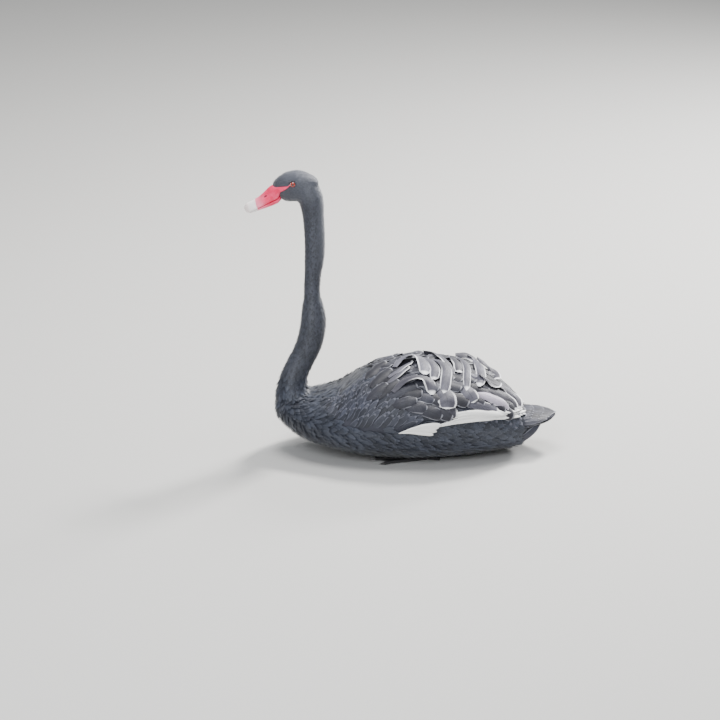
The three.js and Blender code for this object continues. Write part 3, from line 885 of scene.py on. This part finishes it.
def curve_through(points, count):
    """Evenly spaced points on a centripetal curve through the given ones."""
    points = np.asarray(points, float)
    ends = np.vstack([2 * points[0] - points[1], points, 2 * points[-1] - points[-2]])
    fine = []
    for a, b, c, d in zip(ends, ends[1:], ends[2:], ends[3:]):
        k0 = 0.0
        k1 = k0 + math.sqrt(np.linalg.norm(b - a)) + 1e-6
        k2 = k1 + math.sqrt(np.linalg.norm(c - b)) + 1e-6
        k3 = k2 + math.sqrt(np.linalg.norm(d - c)) + 1e-6
        for k in np.linspace(k1, k2, 12, endpoint=False):
            ab = a * (k1 - k) / (k1 - k0) + b * (k - k0) / (k1 - k0)
            bc = b * (k2 - k) / (k2 - k1) + c * (k - k1) / (k2 - k1)
            cd = c * (k3 - k) / (k3 - k2) + d * (k - k2) / (k3 - k2)
            abc = ab * (k2 - k) / (k2 - k0) + bc * (k - k0) / (k2 - k0)
            bcd = bc * (k3 - k) / (k3 - k1) + cd * (k - k1) / (k3 - k1)
            fine.append(abc * (k2 - k) / (k2 - k1) + bcd * (k - k1) / (k2 - k1))
    fine.append(points[-1])
    fine = np.array(fine)
    run = np.concatenate([[0], np.cumsum(np.linalg.norm(np.diff(fine, axis=0), axis=1))])
    want = np.linspace(0, run[-1], count)
    return np.stack([np.interp(want, run, fine[:, i]) for i in range(3)], axis=1)


def out_of_body(point):
    """The way out of the body at a point by it, in the section square to X."""
    share = body_share(point[0])
    middle = (body_top(share) + body_bottom(share)) / 2
    high = max((body_top(share) - body_bottom(share)) / 2, 8.0)
    wide = max(float(body_wide(share)), 8.0)
    out = np.array([0.0, point[1] / wide**2, (point[2] - middle) / high**2])
    return out / (np.linalg.norm(out) + 1e-9)


# The tail as sections square to X: x, top, bottom, half-width
TAIL = [
    (222, 70, 70, 0),
    (240, 84, 56, 34),
    (266, 87, 58, 48),
    (296, 86, 66, 44),
    (320, 83, 73, 25),
    (331, 81, 79, 3),
]
tail_top, tail_bottom, tail_wide = (smooth([(row[0], row[key]) for row in TAIL]) for key in (1, 2, 3))


def tail_spot(x, share, up, lift):
    """A point lifted off the tail's upper or lower face. share is how far out it is, -1 to 1."""
    middle, high = (tail_top(x) + tail_bottom(x)) / 2, (tail_top(x) - tail_bottom(x)) / 2
    rise = up * (high + lift) * math.sqrt(1 - share**2)
    return (x, share * (float(tail_wide(x)) + 0.6 * lift), float(middle) + rise)


def out_of_tail(point):
    middle = (tail_top(point[0]) + tail_bottom(point[0])) / 2
    high = max((tail_top(point[0]) - tail_bottom(point[0])) / 2, 3.0)
    wide = max(float(tail_wide(point[0])), 6.0)
    out = np.array([0.0, point[1] / wide**2, (point[2] - middle) / high**2])
    return out / (np.linalg.norm(out) + 1e-9)


def big_vane(path, width, shape=BLUNT, cup=0.25, roll=(0, 0), thick=0.55, ripple=0.0, way_out=out_of_body):
    """Rings of one vane. cup bends its borders inwards, roll turns it about its path from root to tip."""
    centre = curve_through(path, BIG_RINGS)
    forward = np.gradient(centre, axis=0)
    forward /= np.linalg.norm(forward, axis=1, keepdims=True)
    out = np.array([way_out(p) for p in centre])
    out -= forward * (out * forward).sum(axis=1, keepdims=True)
    out /= np.linalg.norm(out, axis=1, keepdims=True) + 1e-9
    sideways = np.cross(out, forward)
    share = np.linspace(0, 1, BIG_RINGS)
    turn = np.radians(np.interp(share, np.linspace(0, 1, len(roll)), roll))[:, None]
    out, sideways = (
        out * np.cos(turn) + sideways * np.sin(turn),
        sideways * np.cos(turn) - out * np.sin(turn),
    )
    half = width / 2 * np.interp(share, *np.array(shape).T)
    s = BIG_ACROSS
    wave = ripple * np.sin(2 * math.pi * (2.2 * share + random.random()))[:, None] * np.abs(s)
    height = -cup * half[:, None] * s**2 + thick * BIG_FACE + wave * half[:, None] * 0.2
    return (
        centre[:, None]
        + sideways[:, None] * (half[:, None] * s * np.cos(cup * 0.8 * s))[..., None]
        + out[:, None] * height[..., None]
    )


def join_vanes(name, vanes, material, replaced=(), tones=None):
    points = np.array(vanes)
    points[..., 2] = np.maximum(points[..., 2], 0.3)
    count = len(points)
    along = np.broadcast_to(np.linspace(0, 1, BIG_RINGS)[None, :, None], points.shape[:3])
    across = np.broadcast_to(BIG_ACROSS[None, None, :], points.shape[:3])
    tones = random.random(count) if tones is None else np.array(tones)
    mesh = mesh_from_rings(
        name, points, len(BIG_ACROSS), along, across, tones, unwrap(points[:, 0].mean(axis=1))
    )
    mesh.materials.append(material)
    piece = add_object(name, mesh)
    if replaced:
        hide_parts(*replaced)
    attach(piece, "root")


# How the model lies in a 720-pixel picture: a pixel in mm, the column of x = 0, the row of z = MIDDLE_HEIGHT,
# and how much of a height and of a depth the raised camera sees
PIXEL = 2.1
MIDDLE_COLUMN = 400
MIDDLE_ROW = 403
MIDDLE_HEIGHT = 103
SEEN_HEIGHT = 0.94
SEEN_DEPTH = 0.342
HEIGHT_OF_A_ROW = 2.2


def seen(place_x, place_y, lift, side):
    """The point lifted off the body that the camera sees at a place of its 720-pixel picture."""
    x = (place_x - MIDDLE_COLUMN) * PIXEL
    best, spot = 1e9, None
    for turn in range(-60, 112, 1):
        point = on_body(x, turn, LEFT, lift)
        row = MIDDLE_ROW - ((point.z - MIDDLE_HEIGHT) * SEEN_HEIGHT + point.y * SEEN_DEPTH) / PIXEL
        if abs(row - place_y) < best:
            best, spot = abs(row - place_y), (point, row)
        if row <= place_y:
            break
    point, row = spot
    height = point.z + max(0.0, row - place_y) * HEIGHT_OF_A_ROW
    return np.array([x, point.y * (1 if side == LEFT else -1), height])


# The curled feathers as the camera sees them: places with their lift in mm, then width, cup, roll and tone
CURLS = [
    (
        [(394, 367, 5), (399, 359, 12), (411, 354.5, 17), (421, 356.5, 17), (424.5, 364, 14), (424, 374, 10)],
        29,
        0.28,
        (20, 30, 5),
        0.8,
    ),
    ([(388, 377, 4), (396, 371, 7), (404, 365.5, 9), (412, 361, 8)], 17, 0.28, (10, 35), 0.75),
    ([(386, 384, 4), (393, 378, 6), (401, 371.5, 9), (409, 366.5, 8)], 15, 0.28, (10, 35), 0.6),
    (
        [(392, 391, 4), (402, 380.5, 9), (414, 375.5, 14), (425, 377, 14), (430, 384, 11), (431, 394, 6)],
        27,
        0.28,
        (15, 35, 5),
        0.35,
    ),
    ([(421, 357, 8), (430, 360, 13), (434.5, 367, 13), (433, 379, 9)], 22, 0.3, (20, 0), 0.6),
    (
        [(424, 351, 4), (435, 353, 9), (445, 359, 12), (450.5, 368, 10), (449, 378, 6)],
        22,
        0.32,
        (40, 20),
        0.45,
    ),
    (
        [(432, 359, 9), (440.5, 361, 14), (446, 367, 15), (445, 379, 12), (442.5, 394, 8)],
        24,
        0.3,
        (20, 0),
        0.7,
    ),
    ([(438, 389, 5), (444.5, 395, 9), (446, 401, 11), (446, 408.5, 8)], 40, 0.22, (0, 0), 0.55),
    ([(446, 404, 3), (447, 410, 6), (447, 418.5, 4)], 40, 0.25, (0, 0), 0.25),
    ([(444, 358, 5), (452, 357.5, 10), (458, 362, 12), (459, 372, 8)], 24, 0.32, (30, 10), 0.3),
    (
        [(456, 357, 6), (462, 359, 12), (466.5, 366, 14), (466, 377, 12), (465.5, 390, 9)],
        17,
        0.32,
        (20, 0),
        0.6,
    ),
    ([(456, 354, 5), (464, 354, 10), (472, 356, 12), (479, 362, 9)], 24, 0.32, (-35, -20), 0.3),
    ([(464, 385, 6), (466.5, 391, 10), (470, 396, 11), (473, 402, 8)], 33, 0.28, (0, 0), 0.75),
    (
        [(468, 355, 7), (475.5, 359, 13), (480, 367, 15), (480.5, 377, 12), (478, 386, 8)],
        22,
        0.3,
        (20, 0),
        0.8,
    ),
    ([(478, 357, 6), (486, 363, 10), (492.5, 370, 10), (497, 379, 6)], 26, 0.28, (-25, -10), 0.25),
    (
        [(487, 380, 5), (498, 383.5, 9), (508, 390, 10), (515.5, 399, 8), (517, 409, 4)],
        30,
        0.22,
        (10, 0),
        0.2,
    ),
    ([(483, 388, 4), (494, 390, 7), (504, 395.5, 8), (511, 403, 6), (513, 411, 4)], 30, 0.22, (5, 0), 0.15),
    ([(474, 393, 5), (484, 395, 9), (494, 399, 10), (502, 405, 8), (507, 412, 5)], 25, 0.28, (5, 0), 1.0),
    ([(462, 401, 3), (473, 403.5, 6), (486, 407, 7), (498, 411, 5)], 24, 0.22, (0, 0), 0.55),
]

# The white flight feathers in the same way, with width and the blunt or pointed end
WHITES = [
    ([(398, 434, 2), (411, 432.8, 4), (424, 433.5, 5), (432, 435.5, 3)], 13, False),
    ([(399, 433.5, 3), (412, 431, 5), (425, 431, 6), (435.5, 432, 4)], 13, False),
    ([(401, 432.8, 4), (413, 429.5, 6), (426, 428.3, 7), (437.5, 428.3, 5)], 13, False),
    ([(405, 431.5, 5), (416, 428, 7), (428, 426.5, 8), (440, 425.5, 6)], 12, False),
    ([(424, 431, 1), (446, 425, 2), (474, 420.2, 3), (496, 419.2, 2)], 10, False),
    ([(428, 429, 1), (450, 422.8, 3), (478, 418.6, 4), (508, 418.8, 3)], 10, False),
    ([(438, 425.5, 2), (458, 419.5, 4), (486, 417, 5), (520, 417.8, 4)], 11, False),
    ([(451, 419, 3), (466, 415.2, 5), (492, 415, 6), (525.5, 415, 5)], 12, True),
    ([(455, 414.6, 3), (470, 413, 6), (496, 413.8, 7), (526, 412, 6)], 12, True),
    ([(480, 413, 2), (496, 412.7, 5), (508, 412.2, 7), (522.5, 409.5, 6)], 11, True),
]


def build_scapulars():
    """Plain tertials and scapulars under the curls."""
    vanes, tones = [], []
    for side in (LEFT, RIGHT):
        for row, turn in enumerate((16, 30, 44, 58, 72, 86)):
            first = -70 + 9 * (row % 2)
            for step in range(13 if row else 12):
                x = first + 21 * step + random.uniform(-3, 3)
                if (x < -40 and turn < 40) or turn < 18 + 10 * (x > 0) + 9 * (x > 60):
                    continue
                reach = random.uniform(52, 66) if x > -30 else 42
                reach = min(reach, 262 - x)
                if reach < 30:
                    continue
                angle = turn + random.uniform(-3, 3)
                drop = random.uniform(8, 14) - 26 * max(0.0, min(1.0, (20 - x) / 70))
                lifts = (-2, 3, 5.5, random.uniform(5, 9))
                path = [
                    on_body(x + reach * k, angle - drop * k, side, lift)
                    for k, lift in zip((0, 0.35, 0.7, 1.0), lifts)
                ]
                vanes.append(big_vane(path, random.uniform(25, 31), cup=0.3, ripple=0.3))
                # Past x 135 and below the ridge the tone drops: partly the feathers' own darker tone, partly
                # painted shade behind the curls.
                tones.append(random.uniform(0.1, 0.7) * (0.4 if x > 135 and turn < 70 else 1.0))
    join_vanes("scapulars", vanes, back_coat, tones=tones)


def build_curls():
    vanes, tones, pale = [], [], []
    for side in (LEFT, RIGHT):
        for path, width, cup, roll, tone in CURLS:
            shift, low = np.zeros(3), 1.0
            if side == RIGHT:
                # a little out of step with the near side, and flatter along the ridge
                ridge = np.mean([py for _, py, _ in path]) < 364
                shift = np.array([random.uniform(-7, 7), random.uniform(-2, 2), -9 if ridge else -4])
                low, roll = (0.4, (0, 0)) if ridge else (0.7, roll)
            places = [seen(px, py, lift * low, side) + shift for px, py, lift in path]
            turn = tuple(-side * angle for angle in roll)
            vane = big_vane(places, width, cup=cup, roll=turn, ripple=0.35)
            if tone == 1.0:
                pale.append(vane)
            else:
                vanes.append(vane)
                tones.append(tone)
    join_vanes("pale_tertials", pale, pale_coat)
    plumes = ("plumes_left", "plumes_right")
    join_vanes("curled_feathers", vanes, curl_coat, plumes, tones)


def build_white_feathers():
    vanes = []
    for side in (LEFT, RIGHT):
        for path, width, blunt in WHITES:
            places = [seen(px, py - 1.5, lift * 0.75 + 0.8, side) for px, py, lift in path]
            vanes.append(big_vane(places, width, BLUNT if blunt else SLIM_ROOT, cup=0.2, thick=0.5))
    join_vanes("flight_feathers", vanes, white_coat, ("flight_left", "flight_right"))


# The tail's layers: 1 over and -1 under it, layer, vanes on each side, and how far back they reach
TAIL_LAYERS = [(1, 0, 8, 331), (-1, 0, 8, 329), (1, 1, 6, 306), (-1, 1, 7, 300), (1, 2, 5, 284)]


def build_tail():
    vanes = []
    for up, layer, count, reach in TAIL_LAYERS:
        for side in (LEFT, RIGHT):
            for k in range(count):
                share = side * (k + 0.5) / count * (1 - 0.08 * layer)
                end = reach - (24 - 6 * layer) * share**2
                start = 236 - 2 * layer
                lifts = (0.2, 1.2 + layer, 1.8 + 1.3 * layer, 1.4 + 1.3 * layer)
                path = [
                    tail_spot(start + (end - start) * part, share, up, lift)
                    for part, lift in zip((0, 0.33, 0.67, 1), lifts)
                ]
                vanes.append(big_vane(path, 15, POINTED, cup=0.12, thick=0.4, way_out=out_of_tail))
    # long coverts from the belly's end up to the tail
    for side in (LEFT, RIGHT):
        for k in range(9):
            y = side * (4 + 5.4 * k)
            path = [
                (228, y * 0.85, 14 + 0.9 * k),
                (252, y * 1.02, 27 + 0.9 * k),
                (278, y * 0.94, 48 + 0.8 * k),
                (306 - 1.2 * k, y * 0.72, 68 + 0.5 * k),
            ]
            vanes.append(big_vane(path, 17, POINTED, cup=0.2, thick=0.5))
    join_vanes("tail_feathers", vanes, back_coat)


build_scapulars()
build_curls()
build_white_feathers()
build_tail()

# Bill: two lofted halves about a sloping axis
# along the axis: top edge, mouth line, chin, half-width, in mm
BILL_ROWS = [
    (-15, 2.4, 0.6, -17.0, 20.6),
    (-10, 4.6, -1.6, -17.0, 21.4),
    (-4, 6.8, -3.2, -17.0, 21.6),
    (2, 9.0, -3.8, -17.0, 21.0),
    (9, 12.2, -4.0, -17.2, 19.8),
    (14, 14.0, -8.2, -17.6, 18.8),
    (20, 15.2, -13.8, -20.0, 18.0),
    (27, 15.0, -14.3, -22.4, 17.2),
    (36, 12.6, -13.8, -22.0, 16.4),
    (46, 9.8, -13.2, -20.4, 15.8),
    (58, 7.6, -12.8, -18.2, 15.3),
    (70, 7.4, -12.4, -15.6, 14.8),
    (79, 8.0, -12.2, -14.4, 14.0),
    (86, 7.4, -11.6, -13.2, 11.8),
    (91, 5.6, -10.2, -11.2, 8.6),
    (94.4, 1.6, -7.6, -8.2, 3.6),
]
NOSTRIL = (42, 3.5)
LOFT_SIDES = 32


def bill_point(along, up, across):
    x = BILL_AT[0] - along * math.cos(BILL_SLOPE) - up * math.sin(BILL_SLOPE)
    z = BILL_AT[1] - along * math.sin(BILL_SLOPE) + up * math.cos(BILL_SLOPE)
    return Vector((x, across, z)) * MM


def bill_curves():
    return [smooth([(row[0], row[key]) for row in BILL_ROWS]) for key in (1, 2, 3, 4)]


def loft(name, section, rows):
    """Rings made as circles, shaped by section(row, angle) and bridged one to the next."""
    bm = bmesh.new()
    rings = []
    for row in rows:
        made = bmesh.ops.create_circle(bm, segments=LOFT_SIDES, radius=1)
        ring = made["verts"]
        for number, vert in enumerate(ring):
            vert.co = section(row, 2 * math.pi * number / LOFT_SIDES)
        rings.append(ring)
    loops = [
        [edge for edge in {e for v in ring for e in v.link_edges} if all(v in set(ring) for v in edge.verts)]
        for ring in rings
    ]
    for first, second in zip(loops, loops[1:]):
        bmesh.ops.bridge_loops(bm, edges=first + second)
    bmesh.ops.holes_fill(bm, edges=bm.edges, sides=LOFT_SIDES)
    bmesh.ops.recalc_face_normals(bm, faces=bm.faces)
    mesh = bpy.data.meshes.new(name)
    bm.to_mesh(mesh)
    bm.free()
    mesh.shade_smooth()
    return add_object(name, mesh)


def build_bill():
    top, mouth, chin, wide = bill_curves()
    rows = np.concatenate([np.linspace(-15, 80, 46), np.linspace(82, 94.4, 14)])

    def upper(row, angle):
        high, low, half = float(top(row)), float(mouth(row)), float(wide(row))
        middle = low + (high - low) * 0.30
        c, s = math.cos(angle), math.sin(angle)
        across = half * math.copysign(abs(c) ** 0.82, c)
        if s >= 0:
            ridge = 1.25 if row > 30 else 1.05
            up = middle + (high - middle) * abs(s) ** ridge
            across *= 1 - 0.26 * min(1, max(0, (row - 4) / 30)) * abs(s) ** 0.7
        else:
            up = middle + (low - middle) * abs(s) ** 0.55
            across *= 1 - 0.10 * abs(s) ** 2
        # a hollow beside the ridge, with the nostril in it
        away = math.hypot((row - NOSTRIL[0]) / 7.5, (up - NOSTRIL[1]) / 2.6)
        across *= 1 - 0.16 * math.exp(-(away**2))
        hollow = math.exp(-(((row - 40) / 18) ** 2) - ((up - 4.5) / 4.5) ** 2)
        across *= 1 - 0.08 * hollow
        # the nail stands out at the tip
        if row > 80 and s > 0.55:
            up += 0.7 * math.sin(min(1, (row - 80) / 11) * math.pi)
        return bill_point(row, up, across)

    def lower(row, angle):
        high, low = float(mouth(row)) + 1.4, float(chin(row)) - 0.2
        half = float(wide(row)) * 0.985
        low = min(low, high - 0.8)
        c, s = math.cos(angle), math.sin(angle)
        across = half * math.copysign(abs(c) ** 0.8, c)
        if s >= 0:
            up = high - 0.5 + 0.5 * s
        else:
            up = high - 0.5 + (low - high + 0.5) * abs(s) ** 0.8
            groove = math.exp(-((across / 4.0) ** 2)) * max(0, min(1, (60 - row) / 50))
            up += 1.4 * groove * abs(s)
        return bill_point(row, up, across)

    upper_bill = loft("upper_bill", upper, rows)
    lower_bill = loft("lower_bill", lower, rows[(rows > 15) & (rows < 88)])

    material, nodes, shader = new_material("red_bill", 0.32, 0.5, 0.0, 0.25)
    place = nodes.add("ShaderNodeSeparateXYZ")
    nodes.feed(place.inputs[0], nodes.place())
    back = nodes.math("ADD", place.outputs[0], -BILL_AT[0] * MM)
    above = nodes.math("ADD", place.outputs[2], -BILL_AT[1] * MM)
    fall, level = math.sin(BILL_SLOPE), math.cos(BILL_SLOPE)
    along = nodes.math("ADD", nodes.math("MULTIPLY", back, -level), nodes.math("MULTIPLY", above, -fall))
    up = nodes.math("ADD", nodes.math("MULTIPLY", back, -fall), nodes.math("MULTIPLY", above, level))
    cloud = nodes.noise(nodes.place(), 90.0, 3.0)
    fine = nodes.noise(nodes.place(), 620.0, 3.0)
    red = nodes.mix(nodes.ramp(cloud, 0.3, 0.7), (0.78, 0.014, 0.085, 1), (0.92, 0.060, 0.165, 1))
    front = nodes.mix(nodes.ramp(along, 0.040, 0.068), red, (0.90, 0.23, 0.34, 1))
    wobble = nodes.math("MULTIPLY", nodes.math("SUBTRACT", cloud, 0.5), 0.004)
    edge = nodes.math("ADD", nodes.math("ADD", along, wobble), nodes.math("MULTIPLY", up, 0.25))
    pale = nodes.ramp(edge, 0.0655, 0.0685)
    banded = nodes.mix(pale, front, (0.90, 0.86, 0.84, 1))
    nail = nodes.mix(nodes.ramp(edge, 0.083, 0.0865), banded, (0.86, 0.76, 0.74, 1))
    # Painted shade in the nostril: the colour goes near black round it.
    away = nodes.math(
        "SQRT",
        nodes.math(
            "ADD",
            nodes.math("POWER", nodes.math("DIVIDE", nodes.math("SUBTRACT", along, 0.042), 0.0042), 2.0),
            nodes.math("POWER", nodes.math("DIVIDE", nodes.math("SUBTRACT", up, 0.0035), 0.0015), 2.0),
        ),
    )
    dark = nodes.mix(nodes.ramp(away, 0.7, 1.15, 0.9, 0.0), nail, (0.10, 0.008, 0.012, 1))
    speck = nodes.mix(nodes.ramp(fine, 0.62, 0.75, 0.0, 0.25), dark, (0.45, 0.02, 0.03, 1))
    nodes.feed(shader.inputs["Base Color"], speck)
    nodes.feed(shader.inputs["Roughness"], nodes.ramp(fine, 0.3, 0.7, 0.26, 0.42))
    height = nodes.math("ADD", nodes.math("MULTIPLY", fine, 0.4), cloud)
    nodes.feed(shader.inputs["Normal"], nodes.bump(height, 0.2, 0.0008))
    for piece, names in ((upper_bill, ("bill_upper", "bill_tip")), (lower_bill, ("bill_lower",))):
        piece.data.materials.append(material)
        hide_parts(*names)
        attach(piece, "root")


build_bill()

# Eyes, with their lids
EYE_RADIUS = 6.4
LID_RADIUS = 5.6
LID_THICK = 1.05


def eye_material():
    material, nodes, shader = new_material("red_eye", 0.06, 0.6, 0.0, 0.8)
    place = nodes.add("ShaderNodeSeparateXYZ")
    nodes.feed(place.inputs[0], nodes.place())
    dx = nodes.math("ADD", place.outputs[0], 0.2215)
    dz = nodes.math("ADD", place.outputs[2], -0.5885)
    out = nodes.math("SQRT", nodes.math("ADD", nodes.math("POWER", dx, 2.0), nodes.math("POWER", dz, 2.0)))
    angle = nodes.math("ARCTAN2", dz, dx)
    round_it, outwards = nodes.math("MULTIPLY", angle, 5.0), nodes.math("MULTIPLY", out, 300.0)
    rays = nodes.noise(nodes.combine(round_it, outwards, 0.0), 2.0)
    iris = nodes.mix(rays, (0.22, 0.010, 0.008, 1), (0.50, 0.045, 0.020, 1))
    pupil = nodes.mix(nodes.ramp(out, 0.00215, 0.0025), (0.004, 0.004, 0.005, 1), iris)
    rim = nodes.mix(nodes.ramp(out, 0.0046, 0.0052), pupil, (0.03, 0.010, 0.010, 1))
    nodes.feed(shader.inputs["Base Color"], rim)
    nodes.feed(shader.inputs["Normal"], nodes.bump(rays, 0.05, 0.0002))
    return material


def lid_material():
    material, nodes, shader = new_material("pale_lid", 0.5, 0.4)
    fine = nodes.noise(nodes.place(), 900.0, 3.0)
    nodes.feed(shader.inputs["Base Color"], nodes.mix(fine, (0.60, 0.34, 0.34, 1), (0.82, 0.66, 0.63, 1)))
    nodes.feed(shader.inputs["Normal"], nodes.bump(fine, 0.4, 0.0004))
    return material


def build_eyes():
    eye_paint, lid_paint = eye_material(), lid_material()
    for side, word in ((LEFT, "left"), (RIGHT, "right")):
        centre = Vector((EYE_AT[0], side * EYE_AT[1], EYE_AT[2])) * MM
        bm = bmesh.new()
        bmesh.ops.create_uvsphere(bm, u_segments=32, v_segments=20, radius=EYE_RADIUS * MM)
        bmesh.ops.translate(bm, verts=bm.verts, vec=centre)
        mesh = bpy.data.meshes.new("eye")
        bm.to_mesh(mesh)
        bm.free()
        mesh.shade_smooth()
        mesh.materials.append(eye_paint)
        eye = add_object(f"eyeball_{word}", mesh)
        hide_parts(f"eye_{word}")
        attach(eye, "root")
        # the lids: a ring spun about the eye's own axis, narrower up and down
        bm = bmesh.new()
        made = bmesh.ops.create_circle(bm, segments=10, radius=LID_THICK * MM)
        bmesh.ops.translate(bm, verts=made["verts"], vec=Vector((LID_RADIUS, 0, 0)) * MM)
        upright = Matrix.Rotation(math.radians(90), 3, "X")
        bmesh.ops.rotate(bm, verts=bm.verts, cent=(0, 0, 0), matrix=upright)
        bmesh.ops.spin(
            bm,
            geom=bm.verts[:] + bm.edges[:],
            cent=(0, 0, 0),
            axis=(0, 0, 1),
            angle=2 * math.pi,
            steps=32,
            use_merge=True,
        )
        for vert in bm.verts:
            x, y, z = vert.co / MM
            slope = x / LID_RADIUS
            vert.co = Vector((x, side * (z + 2.6 - 0.5 * slope**2), y * 0.80)) * MM
        bmesh.ops.recalc_face_normals(bm, faces=bm.faces)
        bmesh.ops.translate(bm, verts=bm.verts, vec=centre)
        mesh = bpy.data.meshes.new("lids")
        bm.to_mesh(mesh)
        bm.free()
        mesh.shade_smooth()
        mesh.materials.append(lid_paint)
        lids = add_object(f"lids_{word}", mesh)
        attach(lids, "root")


build_eyes()


# Feet and claws keep their solids
def build_foot_materials():
    material, nodes, shader = new_material("foot_leather", 0.5, 0.5)
    cells = nodes.add("ShaderNodeTexVoronoi", feature="DISTANCE_TO_EDGE")
    nodes.feed(cells.inputs["Vector"], nodes.place())
    cells.inputs["Scale"].default_value = 420.0
    scale = nodes.ramp(cells.outputs["Distance"], 0.0, 0.12)
    cloud = nodes.noise(nodes.place(), 60.0, 3.0)
    dark = nodes.mix(cloud, (0.012, 0.012, 0.014, 1), (0.040, 0.037, 0.038, 1))
    nodes.feed(shader.inputs["Base Color"], nodes.mix(scale, (0.006, 0.006, 0.007, 1), dark))
    nodes.feed(shader.inputs["Roughness"], nodes.ramp(cloud, 0.3, 0.7, 0.42, 0.6))
    nodes.feed(shader.inputs["Normal"], nodes.bump(scale, 0.5, 0.0005))
    horn, nodes, shader = new_material("claw_horn", 0.35, 0.5)
    grain = nodes.noise(nodes.place(), 300.0, 3.0)
    streaked = nodes.mix(grain, (0.008, 0.008, 0.009, 1), (0.05, 0.046, 0.042, 1))
    nodes.feed(shader.inputs["Base Color"], streaked)
    nodes.feed(shader.inputs["Normal"], nodes.bump(grain, 0.2, 0.0004))
    for name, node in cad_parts.items():
        paint = material if name.startswith("leg_") else horn if name.startswith("claw_") else None
        if paint:
            node.data.materials.clear()
            node.data.materials.append(paint)


build_foot_materials()
